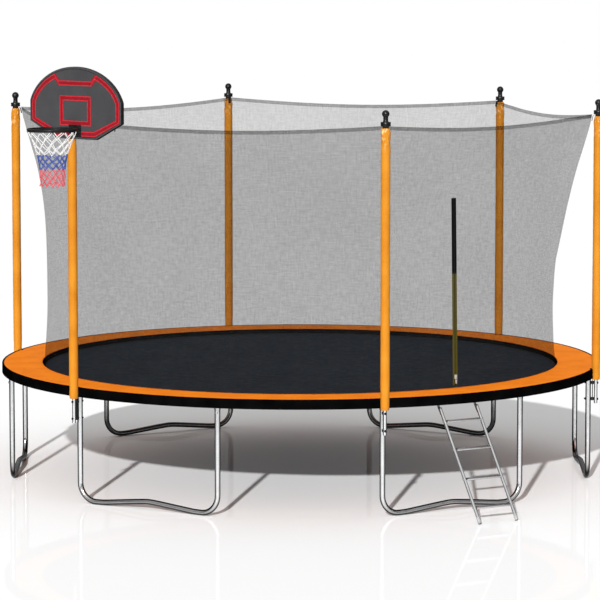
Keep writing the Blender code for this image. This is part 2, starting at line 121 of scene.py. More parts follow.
def tangent(angle):
    return np.array((math.cos(angle), math.sin(angle), 0.0))


def polar(angle, radius, height):
    return radial(angle) * radius + UP * height


def around(count):
    """Angles once round, evenly spaced."""
    return np.linspace(0, math.tau, count, endpoint=False)


def wheel(radius, angle, height):
    """Points from arrays of radius, angle and height."""
    radius, angle, height = np.broadcast_arrays(radius, angle, height)
    return np.stack([radius * np.sin(angle), -radius * np.cos(angle), height], -1)


def grid_faces(rows, columns, wrap_rows=False, wrap_columns=False):
    i = np.arange(rows if wrap_rows else rows - 1)[:, None]
    j = np.arange(columns if wrap_columns else columns - 1)[None, :]
    a = i * columns + j
    b = i * columns + (j + 1) % columns
    c = ((i + 1) % rows) * columns + (j + 1) % columns
    d = ((i + 1) % rows) * columns + j
    return np.stack([a, b, c, d], axis=-1).reshape(-1, 4).tolist()


def grid(points, wrap_rows=False, wrap_columns=False):
    rows, columns = points.shape[:2]
    return points.reshape(-1, 3), grid_faces(rows, columns, wrap_rows, wrap_columns)


def unit(vectors):
    return vectors / np.linalg.norm(vectors, axis=-1, keepdims=True)


def tube(path, radius, sides=16, closed=False):
    """A round bar along a path, with flat ends unless it is closed."""
    path = np.asarray(path, float)
    count = len(path)
    if closed:
        along = unit(np.roll(path, -1, 0) - np.roll(path, 1, 0))
    else:
        along = unit(np.gradient(path, axis=0))
    guess = UP if abs(along[0] @ UP) < 0.9 else np.array((1.0, 0, 0))
    side = unit(np.cross(along[0], guess))
    frames = []
    for direction in along:
        side = unit(side - direction * (side @ direction))
        frames.append(side)
    first = np.array(frames)
    second = np.cross(along, first)
    turn = np.arange(sides) * math.tau / sides
    radius = np.broadcast_to(np.asarray(radius, float), (count,))
    ring = first[:, None] * np.cos(turn)[:, None] + second[:, None] * np.sin(turn)[:, None]
    verts, faces = grid(path[:, None] + ring * radius[:, None, None], closed, True)
    if not closed:
        faces.append(list(range(sides - 1, -1, -1)))
        faces.append(list(range((count - 1) * sides, count * sides)))
    return verts, faces


def lathe(profile, centre, steps=48, closed=False, phase=0.0):
    """A profile of (radius, height) turned about the vertical through centre."""
    profile = np.asarray(profile, float)
    turn = phase + np.arange(steps) * math.tau / steps
    out = np.stack([np.sin(turn), -np.cos(turn), np.zeros(steps)], 1)
    points = out[:, None] * profile[None, :, :1] + UP * profile[None, :, 1:]
    return grid(points + np.asarray(centre, float), True, closed)


def block(centre, axes, sizes, bevel=0.001, segments=2):
    """A block with rounded edges."""
    shape = bmesh.new()
    bmesh.ops.create_cube(shape, size=1.0)
    for vertex in shape.verts:
        vertex.co = [c * s for c, s in zip(vertex.co, sizes)]
    if bevel:
        bmesh.ops.bevel(
            shape, geom=shape.edges[:], offset=bevel, segments=segments,
            profile=0.5, affect="EDGES",
        )
    verts = np.array([v.co for v in shape.verts])
    faces = [[v.index for v in face.verts] for face in shape.faces]
    shape.free()
    return np.asarray(centre) + verts @ np.array([unit(np.asarray(a, float)) for a in axes]), faces


def along_axis(shape, origin, axis):
    """Turns a shape made about the vertical to stand along axis at origin."""
    matrix = np.array(Vector(axis).to_track_quat("Z", "Y").to_matrix())
    return shape[0] @ matrix.T + np.asarray(origin), shape[1]


def hex_head(origin, axis, radius, height):
    """A hexagon head with chamfered corners, from origin outwards along axis."""
    profile = [(0, 0), (radius, 0), (radius, height * 0.8), (radius * 0.82, height), (0, height)]
    return along_axis(lathe(profile, (0, 0, 0), 6), origin, axis)


def disc(origin, axis, radius, height, steps=24):
    edge = min(height * 0.3, radius * 0.2)
    profile = [
        (0, 0), (radius, 0), (radius, height - edge), (radius - edge, height), (0, height),
    ]
    return along_axis(lathe(profile, (0, 0, 0), steps), origin, axis)


def bolt(spot, way, washer, head):
    """A washer and a hexagon head on it, each given as (radius, height), from spot outwards."""
    return [disc(spot, way, *washer), hex_head(spot + way * washer[1], way, *head)]


def strap(path, normals, across, width, thickness):
    """A flat strap with softened edges along a path."""
    path, normals = np.asarray(path, float), np.asarray(normals, float)
    across = np.asarray(across, float)
    outline = [
        (-0.5, 0.25), (-0.5, 0.75), (-0.46, 1), (0.46, 1), (0.5, 0.75), (0.5, 0.25), (0.46, 0),
        (-0.46, 0),
    ]
    points = np.stack(
        [path + across * (width * u) + normals * (thickness * t) for u, t in outline], 1
    )
    verts, faces = grid(points, False, True)
    count = len(outline)
    faces.append(list(range(count)))
    faces.append(list(range(len(verts) - 1, len(verts) - 1 - count, -1)))
    return verts, faces


def ease(x):
    x = np.clip(x, 0, 1)
    return x * x * (3 - 2 * x)


def waves(x, y, seed, scale=1.0, octaves=4):
    """A smooth repeatable unevenness between about -1 and 1."""
    make = np.random.default_rng(seed)
    total = np.zeros(np.broadcast(x, y).shape)
    for i in range(octaves * 3):
        pitch = scale * 1.7 ** (i // 3)
        turn, phase = make.uniform(0, math.tau, 2)
        total += np.sin((x * math.cos(turn) + y * math.sin(turn)) * pitch + phase) / 1.5 ** (i // 3)
    return total / 3.2


def piece(name, shapes, material, replaces=(), body="frame", slot=None, shadow=True, angle=35,
          weld=True, lay=None):
    """One object out of several shapes, riding on a CAD body. The slot argument is not used."""
    verts, faces, start = [], [], 0
    for shape_verts, shape_faces in shapes:
        verts.append(np.asarray(shape_verts, float))
        faces += [[i + start for i in face] for face in shape_faces]
        start += len(shape_verts)
    mesh = bpy.data.meshes.new(name)
    mesh.from_pydata(np.concatenate(verts).tolist(), [], faces)
    if lay is not None:
        attribute = mesh.attributes.new("lay", "FLOAT_VECTOR", "POINT")
        attribute.data.foreach_set("vector", np.asarray(lay, np.float32).ravel())
    shape = bmesh.new()
    shape.from_mesh(mesh)
    if weld:
        bmesh.ops.remove_doubles(shape, verts=shape.verts, dist=1e-6)
    bmesh.ops.recalc_face_normals(shape, faces=shape.faces)
    shape.to_mesh(mesh)
    shape.free()
    mesh.polygons.foreach_set("use_smooth", [True] * len(mesh.polygons))
    mesh.set_sharp_from_angle(angle=math.radians(angle))
    mesh.materials.append(material)
    item = bpy.data.objects.new(name, mesh)
    bpy.context.scene.collection.objects.link(item)
    item.visible_shadow = shadow
    if body:
        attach(item, body)
    if replaces:
        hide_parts(*replaces)
    return item


# ------------------------------------------------------------- materials
# The functions that take an owner build nodes for a material or for the world.

def new_material(name, colour, roughness, metallic=0.0, **sockets):
    material = bpy.data.materials.new(name)
    material.use_nodes = True
    shader = material.node_tree.nodes["Principled BSDF"]
    shader.inputs["Base Color"].default_value = (*colour, 1)
    shader.inputs["Roughness"].default_value = roughness
    shader.inputs["Metallic"].default_value = metallic
    shader.inputs["Specular IOR Level"].default_value = 0.35
    for socket, value in sockets.items():
        shader.inputs[socket.replace("_", " ")].default_value = value
    return material


def add_node(owner, kind, **settings):
    node = owner.node_tree.nodes.new(kind)
    for key, value in settings.items():
        if key in node.inputs:
            node.inputs[key].default_value = value
        else:
            setattr(node, key, value)
    return node


def feed(owner, socket, value):
    """Links another node's output to the socket, or sets the socket to a plain value."""
    if isinstance(value, bpy.types.NodeSocket):
        owner.node_tree.links.new(value, socket)
    else:
        socket.default_value = value


def base(material, socket):
    return material.node_tree.nodes["Principled BSDF"].inputs[socket]


def coordinates(material, scale=(1, 1, 1), lay=False):
    if lay:
        source = add_node(material, "ShaderNodeAttribute", attribute_name="lay").outputs["Vector"]
    else:
        source = add_node(material, "ShaderNodeTexCoord").outputs["Object"]
    mapping = add_node(material, "ShaderNodeMapping", Scale=scale)
    feed(material, mapping.inputs["Vector"], source)
    return mapping.outputs["Vector"]


def split(owner, vector):
    node = add_node(owner, "ShaderNodeSeparateXYZ")
    feed(owner, node.inputs[0], vector)
    return node.outputs


def noise(material, vector, scale, detail=3.0):
    node = add_node(material, "ShaderNodeTexNoise", Scale=scale, Detail=detail)
    feed(material, node.inputs["Vector"], vector)
    return node.outputs["Fac"]


def spread(owner, value, low, high, source=(0.3, 0.7)):
    node = add_node(owner, "ShaderNodeMapRange")
    for socket, number in zip(("From Min", "From Max", "To Min", "To Max"), (*source, low, high)):
        node.inputs[socket].default_value = number
    feed(owner, node.inputs["Value"], value)
    return node.outputs["Result"]


def ramp(material, value, *stops):
    """A colour ramp of (position, colour) stops."""
    node = add_node(material, "ShaderNodeValToRGB")
    elements = node.color_ramp.elements
    for i, (position, colour) in enumerate(stops):
        element = elements[i] if i < 2 else elements.new(position)
        element.position, element.color = position, (*colour, 1)
    feed(material, node.inputs["Fac"], value)
    return node.outputs["Color"]


def tint(material, value, dark, light, source=(0.3, 0.7)):
    colour = ramp(material, value, (source[0], dark), (source[1], light))
    feed(material, base(material, "Base Color"), colour)
    return colour


def mix_colours(material, share, first, second, kind="MIX"):
    node = add_node(material, "ShaderNodeMix", data_type="RGBA", blend_type=kind)
    for socket, value in (("Factor", share), (6, first), (7, second)):
        feed(material, node.inputs[socket], value)
    feed(material, base(material, "Base Color"), node.outputs[2])


def bump(material, height, strength, distance):
    node = add_node(material, "ShaderNodeBump", Strength=strength, Distance=distance)
    feed(material, node.inputs["Height"], height)
    feed(material, base(material, "Normal"), node.outputs["Normal"])


def rough(material, value):
    feed(material, base(material, "Roughness"), value)


def calc(owner, operation, *values):
    node = add_node(owner, "ShaderNodeMath", operation=operation)
    for socket, value in zip(node.inputs, values):
        feed(owner, socket, value)
    return node.outputs[0]


def sines(material, vector, pitch):
    """A wave of this pitch across each of the cloth's two directions."""
    apart = split(material, vector)
    return [
        calc(material, "SINE", calc(material, "MULTIPLY", apart[axis], math.tau / pitch))
        for axis in ("X", "Y")
    ]


def threads(material, vector, pitch):
    """Woven threads: two crossing ridges, each going over and under the other."""
    return calc(material, "MULTIPLY", *sines(material, vector, pitch))


def grey(value):
    return (value, value, value)


def surface(name, dark, light, gloss, cloud, wear, relief=None):
    """A material whose colour, roughness and height all vary a little.

    cloud is the (scale, detail) of the colour's noise, and wear the (scale, low, high) of the
    roughness. relief is (height, strength, distance), where height is the (scale, detail) of a
    noise or the pitch of a weave.
    """
    material = new_material(name, light, wear[1], Specular_IOR_Level=gloss)
    vector = coordinates(material)
    tint(material, noise(material, vector, *cloud), dark, light)
    rough(material, spread(material, noise(material, vector, wear[0]), *wear[1:]))
    if relief:
        height, strength, distance = relief
        if isinstance(height, tuple):
            height = noise(material, vector, *height)
        else:
            height = threads(material, vector, height)
        bump(material, height, strength, distance)
    return material


def cloth(name, dark, light, pitch=0.003, roughness=(0.6, 0.85)):
    return surface(name, dark, light, 0.1, (60, 3), (80, *roughness), (pitch, 0.4, 0.0005))


def steel_material(name, side, rim):
    material = new_material(name, (0.80, 0.81, 0.82), 0.16, 1.0)
    vector = coordinates(material)
    metal = tint(material, noise(material, vector, 11), (0.84, 0.85, 0.86), (0.96, 0.97, 0.98))
    # Painted reflection: the base colour is multiplied by a ramp on facing, white where the tube faces
    # the camera and darker towards its sides and edges, standing in for the bright front and the dark
    # surroundings that polished tubes mirror.
    facing = add_node(material, "ShaderNodeLayerWeight", Blend=0.5).outputs["Facing"]
    shade = ramp(material, facing, (0.05, grey(1)), (0.32, grey(rim)), (0.16, grey(side)))
    mix_colours(material, 1, metal, shade, "MULTIPLY")
    rough(material, spread(material, noise(material, vector, 45), 0.10, 0.20))
    bump(material, noise(material, vector, 160, 2), 0.03, 0.0003)
    return material


def orange_material(name, dark, light, roughness, crease):
    material = surface(name, dark, light, 0.05, (6, 5), (40, *roughness))
    fine = calc(material, "MULTIPLY", noise(material, coordinates(material), 420, 2), 0.12)
    large = noise(material, coordinates(material, (1, 1, 0.55)), 26, 3)
    bump(material, calc(material, "ADD", fine, large), crease, 0.004)
    return material


def painted_crease_highlights(material, low, high):
    """Painted highlights: pale patches in the base colour near the top, where light glints off the
    creases of the cover gathered under the cap.
    """
    under = base(material, "Base Color").links[0].from_socket
    near = spread(material, split(material, coordinates(material))["Z"], 0.0, 1.0, (low, high))
    spots = noise(material, coordinates(material, (1, 1, 0.7)), 55, 2)
    patch = spread(material, spots, 0.0, 1.0, (0.54, 0.64))
    mix_colours(material, calc(material, "MULTIPLY", near, patch), under, (0.72, 0.40, 0.16, 1))


def net_material(name, cover):
    """A fine black mesh: threads that hide what is behind, and holes that don't."""
    material = new_material(name, (0.02, 0.02, 0.02), 0.8, Specular_IOR_Level=0.0)
    vector = coordinates(material, lay=True)
    lines = [calc(material, "ABSOLUTE", wave) for wave in sines(material, vector, 0.0046)]
    thread = calc(material, "MINIMUM", *lines)
    mesh = spread(material, thread, cover + 0.22, cover - 0.12, (0.0, 0.55))
    upright = noise(material, coordinates(material, (6, 1, 1), lay=True), 14, 2)
    level = noise(material, coordinates(material, (1, 6, 1), lay=True), 14, 2)
    grain = spread(material, calc(material, "ADD", upright, level), -0.04, 0.04, (0.8, 1.2))
    cloud = spread(material, noise(material, vector, 1.6, 2), -0.015, 0.015)
    alpha = calc(material, "ADD", calc(material, "ADD", mesh, grain), cloud)
    feed(material, base(material, "Alpha"), calc(material, "MAXIMUM", alpha, 0.02))
    tint(material, noise(material, vector, 9, 2), grey(0.004), grey(0.009))
    return material


def zip_material():
    """A black tape whose lower part is olive."""
    material = new_material("zip_tape", (0.015, 0.015, 0.015), 0.8, Specular_IOR_Level=0.0)
    vector = coordinates(material)
    height = split(material, vector)["Z"]
    tint(material, height, (0.056, 0.047, 0.010), grey(0.0045), (0.805, 0.812))
    bump(material, threads(material, vector, 0.004), 0.3, 0.0005)
    rough(material, spread(material, noise(material, vector, 50), 0.6, 0.85))
    return material


# Both steels have painted reflection in their base colour; the ladder's copy has lighter painted shade at
# its sides and edges.
STEEL = steel_material("galvanised_steel", 0.50, 0.03)
LADDER_STEEL = steel_material("ladder_steel", 0.80, 0.40)
BLACK_METAL = surface("black_metal", grey(0.004), grey(0.009), 0.2, (25, 3), (90, 0.30, 0.55),
                      ((900, 1), 0.15, 0.0003))
BLACK_PLASTIC = surface("black_plastic", grey(0.003), grey(0.008), 0.25, (30, 3), (120, 0.28, 0.46),
                        ((1200, 1), 0.12, 0.0002))
FOAM = orange_material("orange_foam", (0.40, 0.138, 0.009), (0.48, 0.188, 0.016), (0.42, 0.58), 0.35)
# Painted highlights on the creases near the top of each sleeve's cover.
painted_crease_highlights(FOAM, SLEEVE_TOP - 0.16, SLEEVE_TOP - 0.02)
PAD = orange_material("orange_vinyl", (0.74, 0.178, 0.004), (0.84, 0.222, 0.007), (0.55, 0.70), 0.14)
SKIRT = surface("black_vinyl", grey(0.0008), grey(0.0022), 0.0, (8, 3), (30, 0.45, 0.7),
                ((300, 2), 0.15, 0.0006))
MAT = surface("woven_mat", (0.0125, 0.0165, 0.0225), (0.0180, 0.0225, 0.0300), 0.05, (2.4, 4),
              (18, 0.62, 0.82), (0.0032, 0.35, 0.0008))
NET = net_material("net_cloth", 0.38)
HEM = net_material("net_hem", 0.50)
ZIP = zip_material()
BOARD = surface("board_plastic", (0.038, 0.038, 0.040), (0.052, 0.052, 0.054), 0.15, (5, 3),
                (60, 0.36, 0.5), ((700, 1), 0.2, 0.0003))
RED = cloth("bright_red", (0.34, 0.012, 0.018), (0.46, 0.022, 0.032), 0.02, (0.35, 0.5))
DARK_RED = cloth("dark_red", (0.16, 0.006, 0.011), (0.22, 0.010, 0.016), 0.02, (0.4, 0.55))
WHITE_CORD = cloth("white_cord", (0.50, 0.50, 0.49), (0.66, 0.66, 0.65))
BLUE_CORD = cloth("blue_cord", (0.030, 0.050, 0.19), (0.060, 0.095, 0.30))
RED_CORD = cloth("red_cord", (0.40, 0.055, 0.070), (0.58, 0.13, 0.15))
WEBBING = cloth("black_webbing", grey(0.006), grey(0.018))
THREAD = cloth("seam_thread", (0.55, 0.12, 0.01), (0.70, 0.18, 0.02))
LIGHT_PLASTIC = cloth("light_plastic", (0.26, 0.26, 0.24), (0.38, 0.38, 0.36), 0.02, (0.3, 0.45))
GREY_PLASTIC = cloth("grey_plastic", grey(0.22), grey(0.32), 0.02, (0.4, 0.5))
RUBBER = cloth("black_rubber", grey(0.012), grey(0.03), 0.01)


# ------------------------------------------------------------------ frame

def make_rails():
    for k in range(SECTORS):
        middle = SECTOR * k
        angles = middle + np.linspace(-SECTOR / 2 + 0.0002, SECTOR / 2 - 0.0002, 41)
        shapes = [tube([polar(a, RING_RADIUS, RING_Z) for a in angles], RAIL, 24)]
        # The swaged lip where the next rail slides in.
        lip = middle + SECTOR / 2 - np.array((0.0004, 0.012, 0.0125))
        radii = (RAIL + 0.0011, RAIL + 0.0011, RAIL)
        shapes.append(tube([polar(a, RING_RADIUS, RING_Z) for a in lip], radii, 24))
        socket = [
            (0.0165, COLLAR_Z + 0.001), (0.0185, COLLAR_Z), (0.0206, COLLAR_Z + 0.001),
            (0.0206, RING_Z - 0.012), (0.0236, RING_Z - 0.008), (0.0150, RING_Z),
        ]
        for offset in (-FIRST_POLE, FIRST_POLE):
            shapes.append(lathe(socket, radial(middle + offset) * RING_RADIUS, 24))
        piece(f"ring_rail_{k + 1}", shapes, STEEL, [f"top_rail_{k + 1}"])


def leg_path(angle):
    half = RING_RADIUS * math.sin(FIRST_POLE)
    centre = radial(angle) * RING_RADIUS * math.cos(FIRST_POLE)
    low = GROUND + LEG
    left = [(-half, COLLAR_Z - 0.0005), (-half, -0.3), (-half, low + LEG_BEND)]
    for turn in np.radians(np.arange(9, 91, 9)):
        across = -half + LEG_BEND * (1 - math.cos(turn))
        left.append((across, low + LEG_BEND * (1 - math.sin(turn))))
    # The bar on the ground rises a little to its middle.
    for across in np.linspace(-0.41, -0.01, 24):
        away = math.sqrt(across ** 2 + 0.0016) - 0.04
        share = 1 - away / 0.33
        left.append((across, low + LEG_RISE * (share + math.sqrt(share ** 2 + 0.004)) / 2))
    right = [(-s, z) for s, z in reversed(left)]
    return [centre + tangent(angle) * s + UP * z for s, z in left + right]


def make_legs():
    for k in range(SECTORS):
        angle = SECTOR * k + math.radians(30)
        path = leg_path(angle)
        shapes = [tube(path, LEG, 24)]
        for end in (path[0], path[-1]):
            shapes.append(tube([end, end + UP * 0.03], 0.0155, 20))
        # Only the end without a pole needs a bolt of its own.
        lone = FIRST_POLE + SECTOR * k + math.radians(30)
        spot = polar(lone, RING_RADIUS + LEG - 0.0006, BOLT_HEIGHTS[0])
        shapes += bolt(spot, radial(lone), (0.0085, 0.0022), (0.0058, 0.0042))
        piece(f"u_leg_{k + 1}", shapes, STEEL, [f"leg_{k + 1}"])


def make_poles():
    for k in range(SECTORS):
        angle = FIRST_POLE + SECTOR * k
        centre = radial(angle) * POLE_CIRCLE
        profile = [
            (0, POLE_FOOT), (POLE - 0.0022, POLE_FOOT), (POLE - 0.0004, POLE_FOOT + 0.001),
            (POLE, POLE_FOOT + 0.003), (POLE, 0.4), (POLE, 1.2), (POLE, POLE_TOP), (0, POLE_TOP),
        ]
        shapes = [lathe(profile, centre, 24)]
        piece(f"pole_tube_{k + 1}", shapes, STEEL, [f"pole_{k + 1}"], shadow=False)
        make_clamp(k, angle)
        make_sleeve(k, centre, angle)
        make_cap(k, centre, angle)


def make_clamp(k, angle):
    """A spacer with a saddle at each bolt, between the leg and the pole."""
    out = radial(angle)
    axes = (out, tangent(angle), UP)
    inner, outer = RING_RADIUS + LEG, POLE_CIRCLE - POLE
    middle = (inner + outer) / 2
    low, high = (corner[2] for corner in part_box(f"pole_clamp_{k + 1}"))
    spine = polar(angle, middle, (low + high) / 2)
    shapes = [block(spine, axes, (0.004, 0.016, high - low), 0.0012)]
    for height in BOLT_HEIGHTS:
        saddle = polar(angle, middle, max(height, low + 0.013))
        shapes.append(block(saddle, axes, (outer - inner, 0.024, 0.022), 0.003, 3))
        nut = polar(angle, RING_RADIUS - LEG - 0.0005, height)
        shapes += bolt(nut, -out, (0.0095, 0.0016), (0.0078, 0.0058))
        shapes.append(disc(nut - out * 0.0070, -out, 0.0040, 0.0032, 16))
        head = polar(angle, POLE_CIRCLE + POLE - 0.0002, height)
        shapes += bolt(head, out, (0.0092, 0.0014), (0.0078, 0.0048))
    piece(f"clamp_{k + 1}", shapes, BLACK_METAL, [f"pole_clamp_{k + 1}"])


def make_sleeve(k, centre, angle):
    """A foam tube in a thin cover that creases near its top and is gathered at both ends."""
    heights = np.concatenate([
        np.linspace(SLEEVE_FOOT, SLEEVE_FOOT + 0.05, 8),
        np.linspace(SLEEVE_FOOT + 0.07, 1.55, 60), np.linspace(1.56, SLEEVE_TOP, 46),
    ])
    turns = around(48)
    turn, height = np.meshgrid(turns, heights)
    near_top = ease((height - (SLEEVE_TOP - 0.20)) / 0.17)
    near_foot = ease((SLEEVE_FOOT + 0.12 - height) / 0.10)
    along = turn * SLEEVE
    creases = waves(along * 1.4, height, 11 + k, 70) * (0.0004 + 0.0022 * near_top)
    slant = np.sin(turn * 3 + height * 55 + k) * 0.0014 * near_top
    # Free of the pad and of the hoop's bracket, the foam swells.
    swell = 0.0020 * ease((height - 0.05) / 0.08)
    if k == SECTORS - 1:
        swell = swell * ease((1.72 - height) / 0.06)
    sag = waves(along, height * 0.5, 31 + k, 14) * 0.0005
    seam = -0.0010 * np.exp(-((turn - math.pi) / 0.05) ** 2)
    ends = 0.0035 * np.exp(-(height - SLEEVE_FOOT) / 0.006)
    ends = ends + 0.0050 * np.exp(-(SLEEVE_TOP - height) / 0.010)
    radius = SLEEVE - 0.0012 + creases + slant + sag + seam - ends + 0.0004 * near_foot
    radius = np.minimum(radius + swell, SLEEVE + 0.0012 + swell * 0.7)
    wall = centre + wheel(radius, turn + angle, height)
    shapes = [grid(wall, False, True)]
    for row in (0, -1):
        inner = centre + wheel(POLE + 0.0004, turns + angle, heights[row])
        shapes.append(grid(np.stack([wall[row], inner]), False, True))
    name = f"foam_sleeve_{k + 1}"
    piece(name, shapes, FOAM, [f"pole_sleeve_{k + 1}"], shadow=False)


def make_cap(k, centre, angle):
    """A ball on a neck, a wide disc with a groove, and a short neck into the foam."""
    ball, base_z, low, high = 0.025, CAP_FOOT, 1.838, 1.865
    middle = CAP_TOP - ball
    profile = [
        (0.0132, base_z + 0.001), (0.0190, base_z), (0.0200, base_z + 0.001),
        (0.0200, low - 0.001), (0.0215, low), (0.0320, low), (0.0333, low + 0.0012),
        (0.0335, low + 0.0100), (0.0322, low + 0.0112), (0.0322, low + 0.0130),
        (0.0335, low + 0.0142), (0.0335, high - 0.0022), (0.0320, high), (0.0205, high + 0.0008),
        (0.0180, high + 0.0035), (0.0166, high + 0.010), (0.0162, high + 0.020),
    ]
    for turn in map(math.radians, range(-48, 90, 8)):
        profile.append((ball * math.cos(turn), middle + ball * math.sin(turn)))
    profile.append((0, CAP_TOP))
    shapes = [lathe(profile, centre, 48, phase=angle)]
    piece(f"ball_cap_{k + 1}", shapes, BLACK_PLASTIC, [f"pole_cap_{k + 1}"], shadow=False)


# --------------------------------------------------- mat, springs and pad

def bed_piece(name, shapes, material, replaces=()):
    """A piece without a body, its transform baked into its mesh."""
    # It has no parent, so it is not given a body first.
    item = piece(name, shapes, material, replaces, None, "woven_mat")
    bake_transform(item)
    return item


def make_mat():
    radii = np.concatenate([[0.0], np.linspace(0.06, 1.83, 46), [1.845, 1.872, MAT_RADIUS]])
    turn, reach = np.meshgrid(around(180), radii)
    x, y = reach * np.sin(turn), -reach * np.cos(turn)
    height = -0.0009 + waves(x, y, 3, 2.2) * 0.0004
    top, under = wheel(reach, turn, height), wheel(reach, turn, height - 0.0018)
    edge = np.stack([top[-1], under[-1]])
    mat = bed_piece("woven_bed", [grid(p, False, True) for p in (top, under, edge)], MAT, ["jumping_mat"])

    band = [
        (HEM_INNER, 0.0), (1.838, 0.0006), (1.874, 0.0006), (MAT_RADIUS, -0.001),
        (MAT_RADIUS, -0.006), (1.874, -0.0068), (1.838, -0.0068), (HEM_INNER, -0.004),
    ]
    turns = around(1440)
    lift = 0.0006 + 0.0006 * np.abs(np.sin(turns * 720))
    stitches = [tube(wheel(row, turns, lift), 0.0006, 4, True) for row in (1.8415, 1.855, 1.8705)]
    hem = bed_piece("mat_hem", [lathe(band, (0, 0, 0), 180, True)], WEBBING)
    rows = bed_piece("mat_stitching", stitches, RUBBER)


def coil_spring():
    """One spring along X from 0 to 1 of its length, as a wire: hook, tapered coil, hook."""
    length, turns, coil_radius, end_radius = SPRING_LENGTH, 26, 0.0076, 0.003
    wind = np.linspace(0, 1, turns * 10)
    taper = ease(wind / 0.10) * ease((1 - wind) / 0.10)
    spin = wind * turns * math.tau
    x = 0.030 + wind * (length - 0.060)
    size = end_radius + (coil_radius - end_radius) * taper
    coil = np.stack([x, size * np.cos(spin), size * np.sin(spin)], -1)
    start = [(0.0030, 0, -0.0020), (0.0002, 0, 0.0010), (0.0035, 0, 0.0040), (0.012, 0, 0.0010)]
    end = [(length - 0.014, 0, 0.0010), (length - 0.004, 0, 0.0030), (length - 0.0008, 0, -0.001)]
    return tube(np.concatenate([np.array(start), coil, np.array(end)]), 0.0016, 5)


def make_springs():
    wire, faces = coil_spring()
    springs, tabs, rings = [], [], []
    triangle = [(1.8885, 0.0), (1.8815, 0.012), (1.8800, 0.012), (1.8800, -0.012), (1.8815, -0.012)]
    for i in range(SPRINGS):
        angle = math.tau * (i + 0.5) / SPRINGS
        out, side = radial(angle), tangent(angle)
        lean = unit(out * SPRING_LENGTH + UP * (RING_Z + 0.006))
        rise = np.cross(side, lean)
        rise = rise if rise[2] > 0 else -rise
        start = polar(angle, 1.8845, -0.0062)
        springs.append((start + wire @ np.array([lean, side, rise]), faces))
        path = [out * r + side * s + UP * -0.0055 for r, s in triangle]
        rings.append(tube(path, 0.0017, 6, True))
        tab = polar(angle, 1.8775, -0.0045)
        tabs.append(block(tab, (out, side, UP), (0.012, 0.022, 0.0058), 0.0012))
    piece("coil_springs", springs + rings, STEEL, ["spring_set"], weld=False)
    piece("ring_tabs", tabs, WEBBING, slot="woven_mat")


def from_pole(angles, k):
    """How far round each angle is from pole k, either way."""
    return np.abs((angles - FIRST_POLE - SECTOR * k + math.pi) % math.tau - math.pi)


def edge_angles():
    """Angles all round, closer together beside each pole."""
    angles = list(np.linspace(0, math.tau, 600, endpoint=False))
    for k in range(SECTORS):
        pole = FIRST_POLE + SECTOR * k
        angles += list((pole + np.linspace(-0.022, 0.022, 41)) % math.tau)
    return np.array(sorted(set(np.round(angles, 6))))


def outer_reach(angles, room):
    """How far out the pad's edge may go: it steps back round each pole's sleeve."""
    reach = np.full(len(angles), PAD_HIGH[0])
    for k in range(SECTORS):
        away = from_pole(angles, k) * POLE_CIRCLE
        limit = POLE_CIRCLE - np.sqrt(np.clip(room ** 2 - away ** 2, 0, None))
        reach = np.where(away < room, np.minimum(reach, limit), reach)
    return reach


def make_pad():
    angles = edge_angles()
    low, high = PAD_LOW[2] + 0.0004, PAD_HIGH[2]
    reach = outer_reach(angles, 0.0325) - 0.0016
    seams = np.zeros(len(angles))
    for i in range(12):
        away = np.abs((angles - SECTOR * (i / 2) - math.radians(3) + math.pi) % math.tau - math.pi)
        deep = 1.0 if i % 2 == 0 else 0.35
        seams = np.maximum(seams, np.exp(-(away / 0.0022) ** 2) * deep)
    share, angle = np.meshgrid(np.linspace(0, 1, 15), angles)
    radius = PAD_INNER + share * (reach[:, None] - PAD_INNER)
    crown = 1 - (2 * share - 1) ** 8
    ripple = waves(radius * np.sin(angle), radius * np.cos(angle), 5, 9) * 0.0008
    top = high - 0.0055 + 0.0042 * crown ** 0.5 + ripple * crown - 0.0030 * seams[:, None] * crown
    ring = np.concatenate([wheel(radius, angle, top), wheel(radius, angle, low)[:, ::-1]], 1)
    pad = piece("spring_pad", [grid(ring, True, True)], PAD, ["safety_pad"], angle=50)

    bind = [
        (1.8520, 0.0034), (1.8508, 0.0040), (1.8506, low + 0.008), (1.8510, high - 0.006),
        (PAD_INNER, high - 0.0036), (1.8600, high - 0.0024), (1.8603, high - 0.0036),
        (1.8545, high - 0.0056), (1.8528, low + 0.006), (1.8524, 0.0040),
    ]
    piece("pad_binding", [lathe(bind, (0, 0, 0), 360, True)], SKIRT)
    turns, stitches = around(360), []
    for row, drop in ((1.8665, 0.0022), (2.1345, 0.0026)):
        level = high - drop + 0.0006 + 0.0004 * np.abs(np.sin(turns * 180))
        stitches.append(tube(wheel(row, turns, level), 0.0007, 4, True))
    piece("pad_stitching", stitches, THREAD, slot="orange_vinyl")
    # Ties under the pad, one beside each socket.
    ties = []
    for i in range(12):
        angle = math.radians(15 + 30 * i + 5)
        turns = np.linspace(math.radians(100), math.radians(-260), 25)
        spokes = [radial(angle) * math.cos(t) + UP * math.sin(t) for t in turns]
        path = [polar(angle, RING_RADIUS, RING_Z) + s * (RAIL + 0.0004) for s in spokes]
        ties.append(strap(path, spokes, tangent(angle), 0.018, 0.0010))
    piece("pad_ties", ties, WEBBING, slot="black_vinyl")


